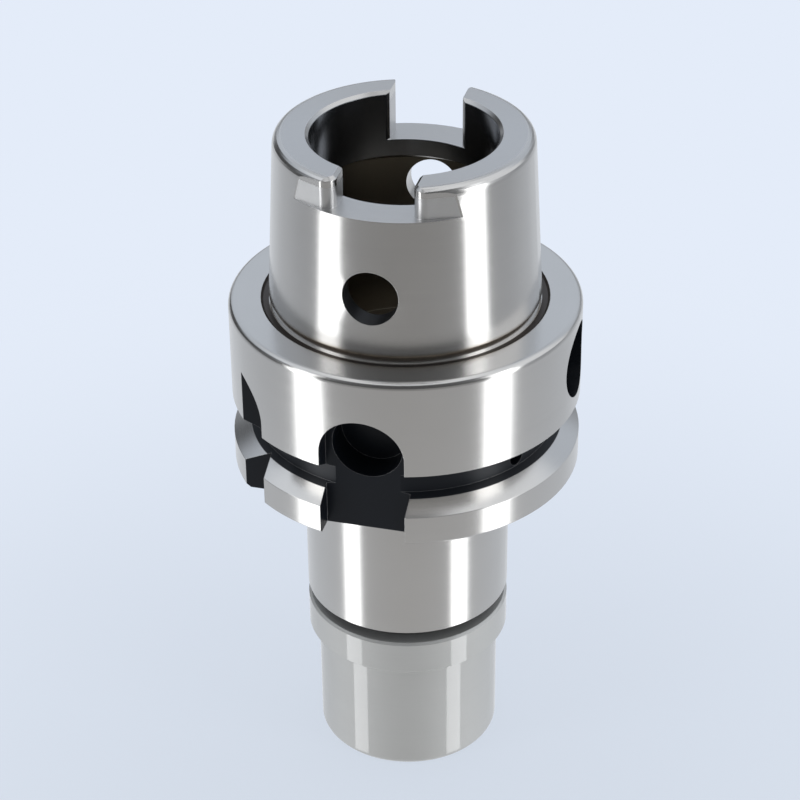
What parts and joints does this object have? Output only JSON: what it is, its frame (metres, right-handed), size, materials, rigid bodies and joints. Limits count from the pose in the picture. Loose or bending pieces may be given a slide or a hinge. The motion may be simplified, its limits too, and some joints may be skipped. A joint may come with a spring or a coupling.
{
  "type": "hollow taper collet chuck holder",
  "caption": "Hollow-taper collet chuck holder with a grooved flange, slim neck and smooth round clamping nut that closes a slit spring collet.",
  "frame": {"origin": "centre of the nut face that the holder stands on, on the spindle axis", "axes": "+Z along the spindle axis from the nut face to the open end of the taper; -Y towards the front keyway, the data carrier hole and the shallow drive slot; +X towards the blind hole in the flange"},
  "size_m": [0.05, 0.05, 0.1],
  "materials": {
    "ground_steel": "fine ground and polished, black oxide in the keyways, notch and bores",
    "nut_steel": "fine turned, satin",
    "ring_steel": "ground",
    "ball_steel": "polished",
    "collet_steel": "ground, bright",
    "black_steel": "black oxide",
    "seal_rubber": "matte"
  },
  "bodies": {
    "holder": {"holder_body": "ground_steel"},
    "collet_carrier": {"nut_cone_ring": "ring_steel", "collet": "collet_steel"},
    "nut": {"clamping_nut": "nut_steel", "ball_filler_plug": "nut_steel"},
    "ball_row": {"nut_bearing_balls": "ball_steel"},
    "stop_carrier": {"stop_screw_seal": "seal_rubber"},
    "stop": {"stop_screw": "black_steel"}
  },
  "joints": [
    {"name": "nut_travel", "type": "slide", "parent": "holder", "child": "collet_carrier", "axis": [0, 0, -1], "range_m": [0, 0.0075]},
    {"name": "nut_turn", "type": "hinge", "parent": "collet_carrier", "child": "nut", "pos_m": [0, 0, 0.012], "axis": [0, 0, -1], "range_deg": [0, 1800]},
    {"name": "ball_row_turn", "type": "hinge", "parent": "collet_carrier", "child": "ball_row", "pos_m": [0, 0, 0.0031], "axis": [0, 0, -1], "range_deg": [0, 990]},
    {"name": "stop_travel", "type": "slide", "parent": "holder", "child": "stop_carrier", "axis": [0, 0, -1], "range_m": [-0.002, 0.003]},
    {"name": "stop_turn", "type": "hinge", "parent": "stop_carrier", "child": "stop", "pos_m": [0, 0, 0.04], "axis": [0, 0, -1], "range_deg": [-720, 1080]}
  ],
  "couplings": [
    {"joint": "nut_turn", "follows": "nut_travel", "rad_per_m": 4188.8},
    {"joint": "ball_row_turn", "follows": "nut_travel", "rad_per_m": 2281.4},
    {"joint": "stop_turn", "follows": "stop_travel", "rad_per_m": 6283.2}
  ]
}
